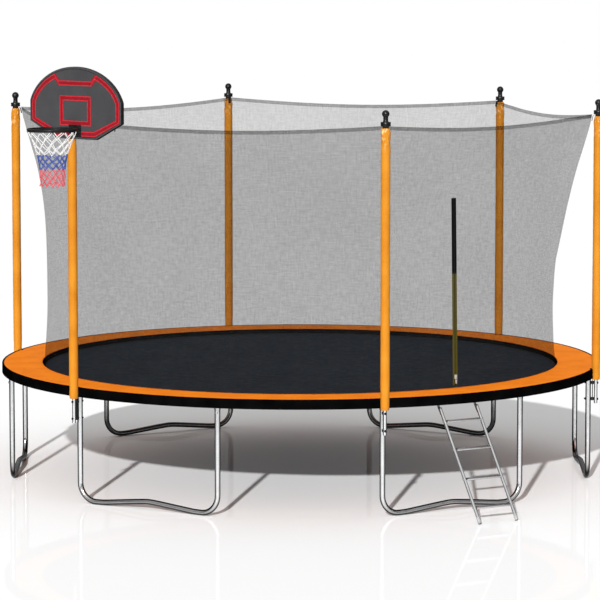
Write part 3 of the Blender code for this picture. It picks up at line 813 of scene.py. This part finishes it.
def make_skirt():
    """The black wall sewn over the pad's outer edge, which hangs down and has a hem at its foot."""
    angles = edge_angles()
    reach = outer_reach(angles, 0.0322)
    tight = np.clip((PAD_HIGH[0] - reach) / 0.008, 0, 1)[:, None]
    drops = (0.0, 0.0, 0.0012, 0.004, 0.012, 0.024, 0.036, 0.048, 0.0555, 0.0565, 0.058, 0.0665)
    backs = (0.0110, 0.0045, 0.0012, 0.0, 0.0, 0.0, 0.0, 0.0, 0.0, -0.0005, -0.0005, -0.0003)
    drop, angle = np.meshgrid(drops, angles)
    ripple = waves(angle * 2.15, np.zeros_like(angle), 8, 22, 3) * 0.0011
    ripple = ripple * ease((drop - 0.008) / 0.05) * (1 - tight)
    outer = reach[:, None] + 0.0003 - np.array(backs) + ripple
    level = PAD_HIGH[2] + 0.0004 - drop
    # The sewn edge lies flat on the pad, and the rest is an upright wall.
    flat = drop < 0.002
    inner = outer - np.where(flat, 0.0, 0.0012)
    back = wheel(inner, angle, level - np.where(flat, 0.0016, 0.0))[:, ::-1]
    ring = np.concatenate([wheel(outer, angle, level), back], 1)
    item = piece("edge_skirt", [grid(ring, True, True)], SKIRT, ["pad_skirt"], angle=60)


# -------------------------------------------------------------------- net

def on_line(line, height):
    line = np.array(line)
    return np.interp(height, line[:, 0], line[:, 1])


def smooth_line(line, height, soft=0.09):
    """The line with its corners rounded off."""
    total = np.zeros_like(np.asarray(height, float))
    for shift in np.linspace(-1, 1, 9):
        total += on_line(line, np.clip(height + shift * soft, 0, NET_TOP))
    return total / 9


def zip_radius(height):
    share = np.clip((height - ZIP_LOW) / (ZIP_HIGH - ZIP_LOW), 0, 1)
    return ZIP_RADII[0] + (ZIP_RADII[1] - ZIP_RADII[0]) * share


def net_radius(angle, height):
    turn = (angle - FIRST_POLE) % SECTOR
    lean = (1 / np.cos(SECTOR / 2 - turn) - 1) / (1 / math.cos(SECTOR / 2) - 1)
    corner = smooth_line(CORNER_LINE, height)
    middle = smooth_line(MIDDLE_LINE, height)
    radius = middle + (corner - middle) * lean
    away = np.abs(angle - ZIP_ANGLE)
    beside = np.clip((math.radians(12) - away) / math.radians(10), 0, 1)
    beside = beside * np.clip((ZIP_HIGH + 0.08 - height) / 0.08, 0, 1)
    return radius + (zip_radius(height) - radius) * beside


def net_surface(start, low_share, high_share, rows, shift=0.0, band=None):
    """Points of one panel; with a band, only the strip of that height under the top edge."""
    u, v = np.meshgrid(np.linspace(0, 1, 61), np.linspace(low_share, high_share, rows))
    angle = start + SECTOR * u
    top = NET_TOP - NET_SAG * 4 * u * (1 - u)
    low = NET_FOOT if band is None else top - band
    height = low + (top - low) * v
    radius = net_radius(angle, height)
    depth = (height / 1.8) ** 2
    edge = np.minimum(u, 1 - u) * 2
    fold = np.sin(u * 34 + 3 * height) * 0.0022 * depth * (1 - edge) * ease(edge / 0.12)
    slack = waves(angle * 1.85, height, 21 + round(start * 7), 5.0, 3) * 0.004
    free = ease(height / 0.15) * ease((top - height) / 0.05 + 0.25) * ease(edge / 0.10)
    beside = 1 - np.exp(-((angle - ZIP_ANGLE) / 0.05) ** 4)
    radius = radius + (fold + slack * free) * beside + shift
    radius = np.minimum(radius, np.where(height < 0.06, 1.8492, 3))
    lay = np.stack([angle * 1.9, height, np.zeros_like(angle)], -1)
    return [grid(wheel(radius, angle, height))], lay.reshape(-1, 3)


def make_net():
    cloth_look = {"slot": "net_cloth", "shadow": False, "angle": 180, "weld": False}
    for k in range(SECTORS):
        start = FIRST_POLE + SECTOR * k
        shapes, lay = net_surface(start, 0, 1, 72)
        panel = piece(f"mesh_panel_{k + 1}", shapes, NET, [f"net_panel_{k + 1}"], lay=lay, **cloth_look)
        for label, band, high in (("hem", 0.026, 1), ("foot_band", None, 0.011)):
            shapes, lay = net_surface(start, 0, high, 4, -0.0016, band)
            piece(f"net_{label}_{k + 1}", shapes, HEM, lay=lay, **cloth_look)

        # The webbing loop that ties the corner of the net to the pole under its cap.
        centre = polar(start, POLE_CIRCLE, 1.8305)
        spokes = [radial(start + t) for t in np.linspace(0, math.tau, 41)]
        loop = strap([centre + s * 0.0203 for s in spokes], spokes, UP, 0.011, 0.0014)
        tail = ((2.1475, 1.8305), (2.136, 1.832), (2.1295, 1.822), (2.1225, 1.790))
        tail = [polar(start, radius, height) for radius, height in tail]
        tab = strap(tail, [-radial(start)] * 4, tangent(start), 0.020, 0.0014)
        piece(f"net_tie_{k + 1}", [loop, tab], WEBBING, slot="black_plastic", shadow=False)


def zip_point(height, gap, across=0.0):
    """A point this far outside the tape's back, which lies flat on the net's facets."""
    flat = float(zip_radius(height)) * math.cos(math.radians(0.8))
    return polar(ZIP_ANGLE, flat + 0.001 + gap, height) + tangent(ZIP_ANGLE) * across


def make_zip():
    side, out = tangent(ZIP_ANGLE), radial(ZIP_ANGLE)
    heights = np.linspace(ZIP_LOW, ZIP_HIGH, 60)
    path = [zip_point(h, 0.0006) for h in heights]
    shapes = [strap(path, [out] * 60, side, ZIP_WIDTH, 0.0016)]
    for edge in (-0.018, 0.018):
        shapes.append(tube([zip_point(h, 0.0022, edge) for h in heights], 0.0009, 6))
    piece("zip_band", shapes, ZIP, ["zip_tape"], slot="zip_cloth", shadow=False)
    slope = unit(zip_point(ZIP_HIGH, 0) - zip_point(ZIP_LOW, 0))
    depth = np.cross(side, slope)
    axes = (side, depth, slope)
    teeth = [
        block(zip_point(height, 0.0026), axes, (0.0075, 0.0016, 0.0024), 0)
        for height in np.arange(ZIP_LOW + 0.004, ZIP_HIGH - 0.004, 0.0042)
    ]
    piece("zip_teeth", teeth, BLACK_PLASTIC, slot="zip_cloth", shadow=False, weld=False, angle=30)
    stops = [
        block(zip_point(height, 0.0030), axes, (0.012, 0.003, 0.008), 0.001)
        for height in (ZIP_LOW + 0.006, ZIP_HIGH - 0.0025)
    ]
    piece("zip_stops", stops, BLACK_METAL, slot="zip_cloth")

    centre = zip_point(0.107, 0.0073)
    bridge = centre + depth * 0.0045 + slope * 0.004
    hang = centre + depth * 0.0052 - slope * 0.027
    loop = []
    for turn in around(28):
        wide = 0.0052 * np.sign(math.cos(turn)) * abs(math.cos(turn)) ** 0.5
        tall = 0.0195 * np.sign(math.sin(turn)) * abs(math.sin(turn)) ** 0.5
        loop.append(hang + side * wide + slope * tall)
    shapes = [
        block(centre, axes, (0.020, 0.0075, 0.030), 0.0028, 3),
        block(bridge, axes, (0.007, 0.004, 0.016), 0.0015),
        tube(loop, 0.0014, 8, True),
        block(hang - slope * 0.006, axes, (0.0095, 0.0026, 0.024), 0.001),
    ]
    piece("zip_runner", shapes, LIGHT_PLASTIC, ["zip_slider"], "zip_slider")


# ------------------------------------------------------------------- hoop

HOOP_OUT, HOOP_SIDE = radial(BOARD_TURN), tangent(BOARD_TURN)
HOOP_AXES = (HOOP_SIDE, HOOP_OUT, UP)


def hoop_point(across, forward, height):
    pole = radial(FIRST_POLE + SECTOR * 5) * POLE_CIRCLE
    return pole + HOOP_SIDE * (BOARD_SHIFT + across) + HOOP_OUT * forward + UP * height


def hoop_block(across, forward, height, sizes, *bevel):
    return block(hoop_point(across, forward, height), HOOP_AXES, sizes, *bevel)


def board_outline(inset=0.0, arc=48):
    """From the foot's right corner round the arch to the left one."""
    foot, chamfer = BOARD_CORNER
    wide, tall = BOARD_ARCH[0] - inset, BOARD_ARCH[1] - inset
    lift = inset * 0.4
    half = [(foot - lift, inset), (BOARD_HALF - inset, chamfer + lift)]
    first = math.acos((BOARD_HALF - inset) / wide)
    for turn in np.linspace(first, math.pi / 2, arc // 2 + 1):
        half.append((wide * math.cos(turn), BOARD_ARCH_MIDDLE + tall * math.sin(turn)))
    return half + [(-across, height) for across, height in reversed(half[:-1])]


def ribbon(points, width, thickness=0.0009):
    """A closed painted line on the board, of even width, as a thin raised strip."""
    points = np.array(points, float)
    before = unit(points - np.roll(points, 1, 0))
    after = unit(np.roll(points, -1, 0) - points)
    normals = [np.stack([way[:, 1], -way[:, 0]], 1) for way in (before, after)]
    normal = unit(normals[0] + normals[1])
    scale = 1 / np.clip((normal * normals[1]).sum(1), 0.4, 1)
    half = normal * (scale * width / 2)[:, None]
    rows = []
    front = BOARD_FRONT - 0.0036
    for flat, depth in ((-half, 0), (-half, thickness), (half, thickness), (half, 0)):
        rows.append([hoop_point(u, front + depth, BOARD_FOOT + w) for u, w in points + flat])
    return grid(np.stack(rows, 1), True, True)


def border(inset):
    """The border line: the board's own shape, with a step down at the middle of its top."""
    more = inset - LINE_INSET
    notch = 0.178 - more * 0.6
    right = [p for p in board_outline(inset) if p[0] > notch or (p[0] > 0 and p[1] < 0.2)]
    half = right + [(0.152 - more * 0.3, 0.372 - more)]
    return half + [(-across, height) for across, height in reversed(half)]


def target(inset):
    wide, low, high = 0.145 - inset, 0.090 + inset, 0.288 - inset
    return [(wide, low), (wide, high), (-wide, high), (-wide, low)]


def make_board():
    profile = ((0.006, BOARD_BACK), (0.001, BOARD_BACK + 0.001), (0.0, BOARD_BACK + 0.004),
               (0.0, BOARD_FRONT - 0.004), (0.0016, BOARD_FRONT - 0.001), (0.005, BOARD_FRONT),
               (0.013, BOARD_FRONT), (0.017, BOARD_FRONT - 0.0035))
    points = np.array([
        [hoop_point(u, forward, BOARD_FOOT + w) for u, w in board_outline(inset)]
        for inset, forward in profile
    ])
    verts, faces = grid(points, False, True)
    count = points.shape[1]
    faces.append(list(range(count)))
    faces.append(list(range(len(verts) - count, len(verts))))
    plate = piece("back_board", [(verts, faces)], BOARD, ["hoop_board"], shadow=False)
    # Only the front is grey: the rim and the back are black.
    plate.data.materials.append(BLACK_PLASTIC)
    for polygon in plate.data.polygons:
        depth = (np.array(polygon.center) - hoop_point(0, BOARD_FRONT - 0.0008, 0)) @ HOOP_OUT
        if depth < 0 and (len(polygon.vertices) == 4 or depth < -0.01):
            polygon.material_index = 1

    paint = {"slot": "board_plastic", "shadow": False}
    wide = [ribbon(border(LINE_INSET), LINE_BAND), ribbon(target(LINE_BAND / 2), LINE_BAND)]
    piece("board_bands", wide, DARK_RED, **paint)
    thin = []
    for side in (-1, 1):
        inset = side * (LINE_BAND - LINE_EDGE) / 2
        thin.append(ribbon(border(LINE_INSET + inset), LINE_EDGE, 0.0014))
        thin.append(ribbon(target(LINE_BAND / 2 + inset), LINE_EDGE, 0.0014))
    piece("board_lines", thin, RED, **paint)
    ribs = []
    for across in (-0.30, -0.18, 0.10, 0.22, 0.34):
        tall = 0.30 if abs(across) < 0.3 else 0.20
        level = BOARD_FOOT + 0.06 + tall / 2
        ribs.append(hoop_block(across, 0.0385, level, (0.005, 0.006, tall), 0.001))
    for level in (0.12, 0.24):
        ribs.append(hoop_block(0.02, 0.0385, BOARD_FOOT + level + 0.10, (0.66, 0.006, 0.005), 0.001))
    piece("board_ribs", ribs, BLACK_PLASTIC, **paint)


def make_bracket():
    """A plate on the back of the board, with two U-straps round the pole's sleeve."""
    shapes = [hoop_block(-0.052, 0.0365, 1.782, (0.19, 0.004, 0.085), 0.0015)]
    grip = 0.0308
    for height in (1.757, 1.807):
        path, normals = [hoop_point(grip - BOARD_SHIFT, 0.036, height)], [HOOP_SIDE]
        for turn in np.linspace(0, math.pi, 25):
            normals.append(HOOP_SIDE * math.cos(turn) - HOOP_OUT * math.sin(turn))
            path.append(hoop_point(-BOARD_SHIFT, 0, height) + normals[-1] * grip)
        path.append(hoop_point(-grip - BOARD_SHIFT, 0.036, height))
        normals.append(-HOOP_SIDE)
        shapes.append(strap(path, normals, UP, 0.018, 0.0026))
    for across in (-0.034, 0.034):
        spot = hoop_point(across, 0.0344, HOOP_Z - 0.026)
        shapes += bolt(spot, -HOOP_OUT, (0.0085, 0.0014), (0.0068, 0.0040))
    piece("pole_bracket", shapes, BLACK_METAL, ["hoop_bracket"], shadow=False)


def hoop_way(turn):
    return HOOP_SIDE * math.cos(turn) + HOOP_OUT * math.sin(turn)


def make_rim():
    """The ring with its two arms, mounting plate, lower ring and twelve loops for the net."""
    centre = hoop_point(0, BOARD_FRONT + HOOP_REACH, HOOP_Z)
    ring = [centre + hoop_way(turn) * HOOP_RADIUS for turn in around(96)]
    shapes = [tube(ring, 0.0078, 16, True)]
    shapes.append(tube([p - UP * 0.0105 for p in ring], 0.0032, 10, True))
    plate = (0.115, 0.004, 0.082)
    shapes.append(hoop_block(0, BOARD_FRONT + 0.0022, HOOP_Z - 0.018, plate, 0.0015))
    reach = HOOP_REACH - HOOP_RADIUS
    far, middle = BOARD_FRONT + reach, BOARD_FRONT + reach / 2
    for across in (-0.030, 0.030):
        shapes.append(hoop_block(across, middle, HOOP_Z, (0.012, reach + 0.006, 0.010), 0.003, 3))
        brace = hoop_point(across, far, HOOP_Z) - hoop_point(across, BOARD_FRONT, HOOP_Z - 0.048)
        axes = (HOOP_SIDE, unit(brace), np.cross(HOOP_SIDE, unit(brace)))
        spot = hoop_point(across, middle, HOOP_Z - 0.024)
        shapes.append(block(spot, axes, (0.005, reach + 0.012, 0.012), 0.001))
    shapes.append(hoop_block(0, BOARD_FRONT + 0.034, HOOP_Z + 0.003, (0.066, 0.066, 0.004), 0.001))
    for across in (-0.034, 0.034):
        spot = hoop_point(across, BOARD_FRONT + 0.0042, HOOP_Z - 0.026)
        shapes += bolt(spot, HOOP_OUT, (0.0090, 0.0014), (0.0072, 0.0045))
    for i in range(12):
        away = hoop_way(math.tau * (i + 0.5) / 12)
        spot = centre + away * HOOP_RADIUS - UP * 0.0125
        path = [
            spot + away * (0.0052 * math.cos(a)) + UP * (0.0062 * math.sin(a)) for a in around(12)
        ]
        shapes.append(tube(path, 0.0015, 6, True))
    piece("goal_ring", shapes, BLACK_METAL, ["hoop_rim"], shadow=False)


def make_hoop_net():
    """Each row of the net is a cord that zigzags between two rings of knots."""
    centre = hoop_point(0, BOARD_FRONT + HOOP_REACH, HOOP_Z)
    top = HOOP_Z - 0.0165
    steps = (0, 0.042, 0.082, 0.118, 0.148, 0.172, 0.196, 0.220, 0.246, 0.274, 0.302, 0.330, 0.356)
    whites, blues = 4, 8
    reach = np.interp(steps, (0, 0.08, 0.16, 0.26, 0.39), (0.158, 0.125, 0.097, 0.083, 0.078))
    make = np.random.default_rng(5)
    count = 12
    knots = []
    for level, (drop, wide) in enumerate(zip(steps, reach)):
        row = []
        for i in range(count):
            stray = make.uniform(-1, 1, 3) * (level > 0)
            away = hoop_way(math.tau * (i + 0.5 + 0.5 * (level % 2) + 0.14 * stray[0]) / count)
            height = top - HOOP_Z - drop + 0.004 * stray[1]
            row.append(centre + away * (wide + 0.004 * stray[2]) + UP * height)
        knots.append(row)
    rows = {"white": [], "blue": [], "red": []}
    knot = [(0, -0.0060), (0.0040, -0.0035), (0.0048, 0.0), (0.0040, 0.0035), (0, 0.0060)]
    for level in range(len(steps) - 1):
        colour = "white" if level < whites else "blue" if level < blues else "red"
        upper, lower = knots[level], knots[level + 1]
        corners = []
        for i in range(count):
            corners.append(upper[i])
            corners.append(lower[i] if level % 2 == 0 else lower[(i + 1) % count])
        path = []
        for a, b in zip(corners, corners[1:] + corners[:1]):
            for share in (0.0, 0.3, 0.6, 0.85):
                bow = math.sin(share * math.pi) * 0.002
                path.append(a + (b - a) * share + unit(a - centre + b - centre) * bow)
        rows[colour].append(tube(path, 0.0031, 7, True))
        for spot in lower:
            rows[colour].append(along_axis(lathe(knot, (0, 0, 0), 8), spot, UP))
    # One cord's end hangs in a loop.
    low = knots[-1][8]
    loop = [
        low - HOOP_SIDE * (0.020 - 0.014 * math.cos(a)) + UP * 0.022 * math.sin(a) for a in around(24)
    ]
    rows["red"].append(tube(loop, 0.0028, 7, True))
    for name, cord in (("white", WHITE_CORD), ("blue", BLUE_CORD), ("red", RED_CORD)):
        node = ["hoop_net"] if name == "white" else []
        piece(f"hoop_cord_{name}", rows[name], cord, node, slot="hoop_cord", shadow=False, weld=False)


# ----------------------------------------------------------------- ladder

def make_ladder():
    """Two hooked rails and four treads, drawn in a frame that slopes down and faces inward."""
    side, out = tangent(LADDER_ANGLE), radial(LADDER_ANGLE)
    down = np.array((math.sin(LADDER_LEAN), -math.cos(LADDER_LEAN)))
    inward = np.array((-math.cos(LADDER_LEAN), -math.sin(LADDER_LEAN)))
    offset, grip = 0.0130, 0.0224
    low = GROUND - RING_Z + 0.011 * math.sin(LADDER_LEAN) + 0.0008
    length = (low - inward[1] * offset) / down[1]
    face = unit(out * -inward[0] + UP * -inward[1])

    def in_plane(across, outward, height):
        return out * (LADDER_AXIS + outward) + side * across + UP * (RING_Z + height)

    def point(across, run, away=offset):
        return in_plane(across, *(down * run + inward * away))

    def run_to(height):
        return (height - RING_Z - inward[1] * offset) / down[1]

    for name, sign in (("left", -1.0), ("right", 1.0)):
        across = sign * LADDER_HALF
        path = [point(across, run) for run in np.linspace(0.040, length, 12)]
        shapes = [tube(path, LADDER_TUBE, 24)]
        hook, normals = [point(across, run, grip) for run in (0.088, 0.030)], [-face, -face]
        start = math.degrees(math.atan2(inward[1], inward[0])) % 360
        for turn in np.radians(np.linspace(start, 60, 24)):
            spoke = np.array((math.cos(turn), math.sin(turn)))
            hook.append(in_plane(across, *(spoke * grip)))
            normals.append(out * spoke[0] + UP * spoke[1])
        shapes.append(strap(hook, normals, side, 0.020, 0.0025))
        for run in (0.055, 0.078):
            shapes.append(hex_head(point(across, run, grip + 0.0025), -face, 0.0052, 0.0036))
        for height in TREADS:
            spot = point(across, run_to(height)) + side * (sign * 0.0105)
            shapes.append(hex_head(spot, side * sign, 0.0058, 0.0038))
        look = {"body": "ladder", "slot": "galvanised_steel"}
        piece(f"climb_rail_{name}", shapes, LADDER_STEEL, [f"ladder_rail_{name}"], **look)
        foot = [point(across, run) for run in (length - 0.045, length - 0.002, length)]
        plug = tube(foot, (0.0118, 0.0120, 0.0108), 20)
        piece(f"ladder_foot_{name}", [plug], GREY_PLASTIC, (), "ladder", "light_plastic")
    for number, height in enumerate(TREADS):
        centre = point(0, run_to(height))
        width = 2 * (LADDER_HALF - LADDER_TUBE)
        shapes = [block(centre, (side, out, UP), (width, 0.044, 0.0125), 0.0045, 4)]
        for spot in (-0.014, -0.007, 0.0, 0.007, 0.014):
            line = centre + out * spot + UP * 0.0062
            shapes.append(block(line, (side, out, UP), (width - 0.03, 0.0022, 0.0016), 0.0006))
        piece(f"tread_{number + 1}", shapes, LADDER_STEEL, [f"ladder_rung_{number + 1}"], **look)


# ------------------------------------------------------------------ stage

def mix_shaders(material, share, first, second):
    node = add_node(material, "ShaderNodeMixShader")
    for socket, value in zip(node.inputs, (share, first, second)):
        feed(material, socket, value)
    return node.outputs[0]


def floor_material():
    """Pale and a little glossy near the object, and plain white far away."""
    material = new_material("pale_floor", grey(0.80), 0.9, Specular_IOR_Level=0.0)
    tree = material.node_tree
    length = add_node(material, "ShaderNodeVectorMath", operation="LENGTH")
    feed(material, length.inputs[0], coordinates(material))
    far = spread(material, length.outputs["Value"], 0.0, 1.0, (5.0, 12.0))
    gloss = add_node(material, "ShaderNodeBsdfGlossy", Roughness=0.03, Color=(*grey(0.22), 1))
    shiny = add_node(material, "ShaderNodeAddShader")
    feed(material, shiny.inputs[0], tree.nodes["Principled BSDF"].outputs[0])
    feed(material, shiny.inputs[1], gloss.outputs[0])
    ray = add_node(material, "ShaderNodeLightPath").outputs
    # Painted dark reflection: to glossy rays only, the floor behind the object turns into a near-black
    # emission, so that chrome mirrors dark surroundings there and its edges read.
    behind = spread(material, split(material, coordinates(material))["Y"], 0.0, 0.92, (-1.6, 1.0))
    hidden = calc(material, "MULTIPLY", behind, ray["Is Glossy Ray"])
    dark = add_node(material, "ShaderNodeEmission", Strength=0.02)
    white = add_node(material, "ShaderNodeEmission")
    feed(material, white.inputs["Strength"], spread(material, ray["Is Camera Ray"], 0.12, 1.0, (0, 1)))
    fade = mix_shaders(material, far, shiny.outputs[0], white.outputs[0])
    last = mix_shaders(material, hidden, fade, dark.outputs[0])
    feed(material, tree.nodes["Material Output"].inputs["Surface"], last)
    return material


def make_world():
    """Brighter overhead than at the horizon, and plain white to the camera."""
    world = bpy.data.worlds.new("studio")
    bpy.context.scene.world = world
    world.use_nodes = True
    height = split(world, add_node(world, "ShaderNodeTexCoord").outputs["Generated"])["Z"]
    light = spread(world, height, 0.10, 0.68, (0.0, 0.6))
    seen = add_node(world, "ShaderNodeLightPath").outputs["Is Camera Ray"]
    background = world.node_tree.nodes["Background"].inputs
    feed(world, background["Strength"], calc(world, "MAXIMUM", light, seen))
    background["Color"].default_value = (1, 1, 1, 1)


def make_stage():
    corners = [(-300, -300), (300, -300), (300, 300), (-300, 300)]
    plane = np.array([(x, y, GROUND - 0.0005) for x, y in corners], float)
    shapes = [(plane, [[0, 1, 2, 3]])]
    piece("floor", shapes, floor_material(), body=None, slot="", weld=False)
    make_world()

    lamp = bpy.data.lights.new("sun", "SUN")
    lamp.energy, lamp.angle = SUN_STRENGTH, math.radians(1.2)
    sun = bpy.data.objects.new("sun", lamp)
    sun.rotation_euler = Vector(SUN_WAY).to_track_quat("-Z", "Y").to_euler()
    bpy.context.scene.collection.objects.link(sun)

    lens = bpy.data.cameras.new("camera")
    lens.lens, lens.sensor_width, lens.clip_end = CAMERA_LENS, 36, 1000
    camera = bpy.data.objects.new("camera", lens)
    camera.location = (0.0, -CAMERA_AWAY, CAMERA_HEIGHT + GROUND)
    camera.rotation_euler = (math.pi / 2 - CAMERA_TILT, 0, 0)
    bpy.context.scene.collection.objects.link(camera)
    bpy.context.scene.camera = camera
    bpy.context.scene.view_settings.view_transform = "Standard"


make_rails()
make_legs()
make_poles()
make_springs()
make_mat()
make_pad()
make_skirt()
make_net()
make_zip()
make_board()
make_bracket()
make_rim()
make_hoop_net()
make_ladder()
make_stage()
